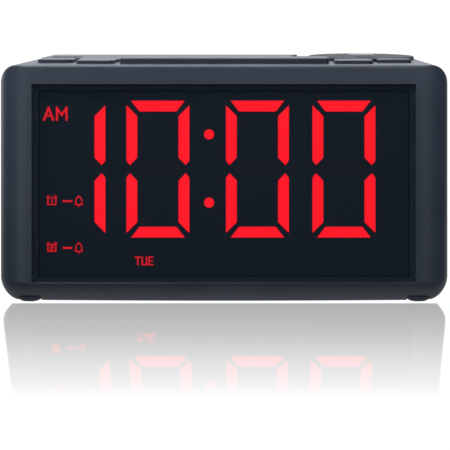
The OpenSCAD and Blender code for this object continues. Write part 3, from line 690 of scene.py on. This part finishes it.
def make_rear_cover():
    """Rear cover with the speaker's slots, vents, screw holes, jack, gland and battery bay."""
    bm = bmesh.new()
    edge_r = 3.0
    loops = [level_outline(0.2, COVER_Y + 0.02), level_outline(0, COVER_Y + 0.22)]
    for k in range(1, 9):
        a = math.radians(90 * k / 8)
        loops.append(level_outline(edge_r * (1 - math.cos(a)) * 0.85,
                                   BACK_Y - (BACK_Y - COVER_Y - 0.25) * (1 - math.sin(a))))
    skin(bm, loops)
    tools = bmesh.new()
    speaker_low, speaker_high = node_box("speaker_frame")
    sx, sz = (speaker_low.x + speaker_high.x) / 2, (speaker_low.z + speaker_high.z) / 2
    for k in range(-4, 5):
        x = GRILLE_PITCH * k
        reach = math.sqrt(GRILLE_R ** 2 - x * x)
        slot_cutter(tools, sx + x - GRILLE_SLOT, sx + x + GRILLE_SLOT, sz - reach, sz + reach)
    for k in range(VENTS):
        x = VENT_X + VENT_PITCH * k
        slot_cutter(tools, x, x + VENT_LONG, VENT_LOW, VENT_HIGH)
    jack_low, jack_high = node_box("dc_jack")
    jx, jz = (jack_low.x + jack_high.x) / 2, (jack_low.z + jack_high.z) / 2
    lathe_y(tools, [(JACK_HOLE_R, COVER_Y - 2), (JACK_HOLE_R, BACK_Y - 0.3),
                    (JACK_HOLE_R + 0.6, BACK_Y + 0.3)], (jx, jz))
    grommet_low, grommet_high = node_box("antenna_grommet")
    gx, gz = (grommet_low.x + grommet_high.x) / 2, (grommet_low.z + grommet_high.z) / 2
    lathe_y(tools, [(GLAND_HOLE_R, COVER_Y - 2), (GLAND_HOLE_R, BACK_Y - 0.2),
                    (GLAND_HOLE_R + 0.5, BACK_Y + 0.3)], (gx, gz))
    for cx, cz in screw_places():
        lathe_y(tools, [(SCREW_HOLE_R, COVER_Y - 2), (SCREW_HOLE_R, BACK_Y - 1.42),
                        (SCREW_SEAT_R, BACK_Y - 1.4), (SCREW_SEAT_R, BACK_Y - 0.2),
                        (SCREW_SEAT_R + 0.5, BACK_Y + 0.3)], (cx, cz))
    gap = 0.3
    recess = BACK_Y - DOOR_T
    box_between(tools, (DOOR_LOW.x - gap, recess, DOOR_LOW.z - gap),
                (DOOR_HIGH.x + gap, BACK_Y + 1, DOOR_HIGH.z + gap))
    lip = 2.0
    bay_low = (DOOR_LOW.x + lip, COVER_Y - 3, DOOR_LOW.z + lip)
    bay_high = (DOOR_HIGH.x - lip, recess + 0.5, DOOR_HIGH.z - lip)
    bay_tool = bmesh.new()
    box_between(bay_tool, bay_low, bay_high)
    bm = cut(cut(bm, tools), bay_tool)
    outer = [bay_low[0] - 1.5, bay_high[0] + 1.5, bay_low[2] - 1.5, bay_high[2] + 1.5]
    inner = [bay_low[0], bay_high[0], bay_low[2], bay_high[2]]
    def frame_loop(b, y):
        return [Vector((b[0], y, b[2])), Vector((b[1], y, b[2])), Vector((b[1], y, b[3])),
                Vector((b[0], y, b[3]))]
    skin(bm, [frame_loop(outer, COVER_Y), frame_loop(outer, COVER_Y - BAY_DEEP)], caps=False)
    skin(bm, [frame_loop(outer, COVER_Y), frame_loop(inner, COVER_Y),
              frame_loop(inner, COVER_Y - BAY_DEEP + 1.5)], caps=False)
    bm.faces.new([bm.verts.new(p) for p in frame_loop(outer, COVER_Y - BAY_DEEP)])
    bm.faces.new([bm.verts.new(p) for p in frame_loop(inner, COVER_Y - BAY_DEEP + 1.5)])
    return settle(bm, "rear_cover_shell", "housing", COVER, ["rear_cover"])


def screw_places():
    """Centres of the rear screws, as (x, z), from the corners of their node."""
    low, high = node_box("rear_cover_screws")
    r = SCREW_HEAD_R
    return [(x, z) for x in (low.x + r, high.x - r) for z in (low.z + r, high.z - r)]


def make_cover_screws():
    """Four cross-head screws."""
    bm = bmesh.new()
    tools = bmesh.new()
    low, high = node_box("rear_cover_screws")
    top = high.y
    head_r = SCREW_HEAD_R - 0.05
    long, thin = 1.35, 0.26                  # half the length and width of the cross's slots
    for cx, cz in screw_places():
        profile = [(0.01, low.y), (SCREW_R / 2, low.y), (SCREW_R, low.y + 1.2),
                   (SCREW_R, top - 1.35), (head_r, top - 1.35), (head_r, top - 0.7)]
        profile += [(head_r * math.cos(math.radians(a)),
                     top - 0.7 + 0.6 * math.sin(math.radians(a)))
                    for a in (15, 30, 45, 60, 75, 89.5)]
        lathe_y(bm, profile, (cx, cz), steps=40)
        for half_x, half_z in ((long, thin), (thin, long)):
            box_between(tools, (cx - half_x, top - 0.75, cz - half_z),
                        (cx + half_x, top + 1, cz + half_z))
    crossed = cut(bm, tools)
    settle(crossed, "rear_cover_screw_set", "housing", STEEL, ["rear_cover_screws"])


def make_battery_door():
    """Flat door with a thumb grip of five grooves and two inner tongues."""
    bm = bmesh.new()
    x0, x1, z0, z1 = DOOR_LOW.x, DOOR_HIGH.x, DOOR_LOW.z, DOOR_HIGH.z
    def ring(inset, y):
        r = 1.2
        return [Vector((x, y, z)) for x, z, _ in rounded(
            x0 + inset, x1 - inset, z0 + inset, z1 - inset, [(r, r)] * 4, 6)]
    skin(bm, [ring(0, BACK_Y - DOOR_T + 0.01), ring(0, BACK_Y - 0.35), ring(0.1, BACK_Y - 0.12),
              ring(0.32, BACK_Y)])
    tools = bmesh.new()
    middle = (x0 + x1) / 2
    for k in range(5):
        z = z1 - 4.0 - 1.3 * k
        half = 7.0 - 0.9 * k
        slot_groove(tools, middle - half, middle + half, z - 0.3, z + 0.3, 0.4)
    grooved = cut(bm, tools)
    for z in (z1 - 2 - 1.8, z0 + 2 + 0.4):
        box_between(grooved, (x0 + 14, BACK_Y - 2.6, z), (x0 + 44, BACK_Y - DOOR_T, z + 1.4))
    settle(grooved, "battery_door_panel", "door", COVER, ["battery_door"])


def slot_groove(bm, x0, x1, z0, z1, depth):
    """Cutter for a shallow groove in the rear face."""
    skin(bm, [[Vector((x, y, z)) for x, z in ((x0 - g, z0 - g), (x1 + g, z0 - g),
                                              (x1 + g, z1 + g), (x0 - g, z1 + g))]
              for y, g in ((BACK_Y - depth, -0.15), (BACK_Y + 0.3, 0.25))])


make_bezel()
make_cabinet()
make_feet()
for node, body in KEY_NODES.items():
    if node == "snooze_bar":
        make_key(node, body, 0.5, 0.15)
    else:
        make_key(node, body, 0.35, 0.08)
make_dial()
make_dial_button()
make_lens()
make_rear_cover()
make_cover_screws()
make_battery_door()


# ---------- inner CAD nodes ----------

NODE_MATERIAL = {
    "hour_tens_digit": LIT, "hour_ones_digit": LIT, "colon_dots": LIT,
    "minute_tens_digit": LIT, "minute_ones_digit": LIT,
    "am_indicator": ICON, "alarm_1_indicator": ICON, "alarm_2_indicator": ICON,
    "weekday_indicator": ICON,
    "unlit_segments": UNLIT, "reflector_block": BLOCK,
    "tact_switches": BLACK, "dial_encoder": BLACK, "main_chips": BLACK, "dc_jack": BLACK,
    "antenna_grommet": RUBBER, "capacitors": SLEEVE, "ribbon_cable": CABLE,
    "key_pcb": BOARD, "display_pcb": BOARD, "main_pcb": BOARD,
    "speaker_frame": STEEL, "speaker_magnet": FERRITE, "speaker_cone": CONE,
    "ferrite_rod": FERRITE, "antenna_coil": COPPER, "backup_batteries": CELL,
    "battery_springs": STEEL, "battery_plates": STEEL,
    "display_screws": STEEL, "pcb_screws": STEEL, "key_pcb_screws": STEEL,
    "speaker_screws": STEEL,
}
for name in NODES:
    if name.endswith("_plunger"):
        NODE_MATERIAL[name] = NYLON
for name, material in NODE_MATERIAL.items():
    mesh = NODES[name].data
    mesh.materials.clear()
    mesh.materials.append(material)


# ---------- stage, lights and camera ----------

FOCAL_PX = 906.0
FRAME_PX = 450.0
DISTANCE = 300.0
AIM_U, AIM_V = 8.4, 38.5                 # place on the face that the camera's axis meets
AXIS_OFF_PX = (24.2, -40.0)              # place of that axis from the middle of the frame


def make_camera():
    """Camera whose picture plane is parallel to the face."""
    data = bpy.data.cameras.new("camera")
    data.sensor_width = 36
    data.lens = FOCAL_PX / FRAME_PX * data.sensor_width
    data.shift_x = -AXIS_OFF_PX[0] / FRAME_PX
    data.shift_y = AXIS_OFF_PX[1] / FRAME_PX
    data.clip_start = 0.01
    camera = bpy.data.objects.new("camera", data)
    camera.location = face(AIM_U, AIM_V, DISTANCE) * MM
    camera.rotation_euler = (math.radians(90) - TILT, 0, 0)
    bpy.context.scene.collection.objects.link(camera)
    bpy.context.scene.camera = camera


# (y in metres, mirror's share) on the floor, from in front of the object to its base
FLOOR_FADE = ((-0.1170, 0.0), (-0.1033, 0.2), (-0.0912, 0.29), (-0.0778, 0.40),
              (-0.0629, 0.51), (-0.0377, 0.61), (-0.0367, 0.0))
SHEEN_HALF = (0.10, 0.14)                # the sheen also fades away beyond the object's sides
FLOOR_GLOW = 1.02                        # the floor as the camera sees it
BOUNCE_FAR, BOUNCE_NEAR = (0.03, 0.03, 0.03), (0.6, 0.58, 0.58)


def make_floor():
    """White gloss floor whose mirror sheen fades away in front of the object."""
    mesh = bpy.data.meshes.new("floor")
    size = 3.0
    mesh.from_pydata([(-size, -size, 0), (size, -size, 0), (size, size, 0), (-size, size, 0)],
                     [], [(0, 1, 2, 3)])
    floor = bpy.data.objects.new("floor", mesh)
    floor.location.z = -0.00002
    bpy.context.scene.collection.objects.link(floor)
    material = new_material("pale floor", (0.07, 0.07, 0.07), 0.9)
    tree = material.node_tree
    shader = tree.nodes["Principled BSDF"]
    shader.inputs["Emission Color"].default_value = (1, 1, 1, 1)
    shader.inputs["Specular IOR Level"].default_value = 0.0
    path = add_node(material, "ShaderNodeLightPath")
    glow = add_node(material, "ShaderNodeMapRange")
    glow.inputs["To Max"].default_value = FLOOR_GLOW
    tree.links.new(path.outputs["Is Camera Ray"], glow.inputs["Value"])
    tree.links.new(glow.outputs["Result"], shader.inputs["Emission Strength"])
    mirror = add_node(material, "ShaderNodeBsdfGlossy", Roughness=0.05)
    mirror.inputs["Color"].default_value = (1, 1, 1, 1)
    place = add_node(material, "ShaderNodeTexCoord")
    split = add_node(material, "ShaderNodeSeparateXYZ")
    tree.links.new(place.outputs["Object"], split.inputs["Vector"])
    start, end = FLOOR_FADE[0][0], FLOOR_FADE[-1][0]
    spread = add_node(material, "ShaderNodeMapRange")
    spread.inputs["From Min"].default_value = start
    spread.inputs["From Max"].default_value = end
    tree.links.new(split.outputs["Y"], spread.inputs["Value"])
    fade = add_node(material, "ShaderNodeValToRGB")
    stops = fade.color_ramp.elements
    while len(stops) < len(FLOOR_FADE):
        stops.new(0.5)
    for stop, (y, share) in zip(stops, FLOOR_FADE):
        stop.position = (y - start) / (end - start)
        stop.color = (share, share, share, 1)
    tree.links.new(spread.outputs["Result"], fade.inputs["Fac"])
    bounce = add_node(material, "ShaderNodeValToRGB")
    bounce.color_ramp.elements[0].position = 0.92
    bounce.color_ramp.elements[0].color = (*BOUNCE_FAR, 1)
    bounce.color_ramp.elements[1].position = 0.98
    bounce.color_ramp.elements[1].color = (*BOUNCE_NEAR, 1)
    tree.links.new(spread.outputs["Result"], bounce.inputs["Fac"])
    tree.links.new(bounce.outputs["Color"], glow.inputs["To Min"])
    mix = add_node(material, "ShaderNodeMixShader")
    across = add_node(material, "ShaderNodeMath", operation="ABSOLUTE")
    tree.links.new(split.outputs["X"], across.inputs[0])
    sides = add_node(material, "ShaderNodeMapRange")
    sides.inputs["From Min"].default_value = SHEEN_HALF[0]
    sides.inputs["From Max"].default_value = SHEEN_HALF[1]
    sides.inputs["To Min"].default_value = 1.0
    sides.inputs["To Max"].default_value = 0.0
    tree.links.new(across.outputs["Value"], sides.inputs["Value"])
    share = add_node(material, "ShaderNodeMath", operation="MULTIPLY")
    tree.links.new(fade.outputs["Color"], share.inputs[0])
    tree.links.new(sides.outputs["Result"], share.inputs[1])
    seen = add_node(material, "ShaderNodeMath", operation="MULTIPLY")
    tree.links.new(share.outputs["Value"], seen.inputs[0])
    tree.links.new(path.outputs["Is Camera Ray"], seen.inputs[1])
    tree.links.new(seen.outputs["Value"], mix.inputs["Fac"])
    tree.links.new(shader.outputs["BSDF"], mix.inputs[1])
    tree.links.new(mirror.outputs["BSDF"], mix.inputs[2])
    tree.links.new(mix.outputs["Shader"], tree.nodes["Material Output"].inputs["Surface"])
    mesh.materials.append(material)


def make_light(name, place, aim, size, watts, colour=(1, 1, 1)):
    """Area light at place, turned to aim; size is its width and height in metres."""
    data = bpy.data.lights.new(name, "AREA")
    data.shape = "RECTANGLE"
    data.size, data.size_y = size
    data.energy = watts
    data.color = colour
    light = bpy.data.objects.new(name, data)
    light.location = place
    light.rotation_euler = (Vector(aim) - Vector(place)).to_track_quat("-Z", "Y").to_euler()
    bpy.context.scene.collection.objects.link(light)


def make_world():
    """White surround to the eye; to the object, white behind it and a dim cool room in front."""
    world = bpy.data.worlds.new("studio")
    bpy.context.scene.world = world
    world.use_nodes = True
    tree = world.node_tree
    room = tree.nodes["Background"]
    room.inputs["Strength"].default_value = 1.0
    place = tree.nodes.new("ShaderNodeTexCoord")
    split = tree.nodes.new("ShaderNodeSeparateXYZ")
    tree.links.new(place.outputs["Generated"], split.inputs["Vector"])
    blend = tree.nodes.new("ShaderNodeValToRGB")
    blend.color_ramp.interpolation = "EASE"
    blend.color_ramp.elements[0].position = 0.25
    blend.color_ramp.elements[0].color = (0.078, 0.126, 0.187, 1)
    blend.color_ramp.elements[1].position = 0.8
    blend.color_ramp.elements[1].color = (0.95, 0.98, 1.03, 1)
    tree.links.new(split.outputs["Y"], blend.inputs["Fac"])
    tree.links.new(blend.outputs["Color"], room.inputs["Color"])
    white = tree.nodes.new("ShaderNodeBackground")
    white.inputs["Color"].default_value = (1, 1, 1, 1)
    white.inputs["Strength"].default_value = 1.05
    path = tree.nodes.new("ShaderNodeLightPath")
    mix = tree.nodes.new("ShaderNodeMixShader")
    tree.links.new(path.outputs["Is Camera Ray"], mix.inputs["Fac"])
    tree.links.new(room.outputs["Background"], mix.inputs[1])
    tree.links.new(white.outputs["Background"], mix.inputs[2])
    tree.links.new(mix.outputs["Shader"], tree.nodes["World Output"].inputs["Surface"])


make_camera()
make_floor()
make_world()
make_light("overhead softbox", (-0.03, -0.105, 0.2), (0, -0.02, 0.06), (0.34, 0.05), 0.28,
           (0.92, 1.0, 1.1))
make_light("top softbox", (-0.02, 0.04, 0.26), (0, -0.02, 0.078), (0.34, 0.05), 0.5)
make_light("left rim softbox", (-0.7, 0.15, 0.12), (0, 0, 0.04), (0.3, 0.3), 0.5)
make_light("left softbox", (-0.5, -1.0, 0.3), (0, -0.03, 0.04), (0.22, 0.6), 0.8,
           (0.88, 1.0, 1.08))
make_light("right softbox", (0.5, -1.0, 0.3), (0, -0.03, 0.04), (0.22, 0.6), 0.4)

bpy.context.scene.view_settings.view_transform = "Standard"
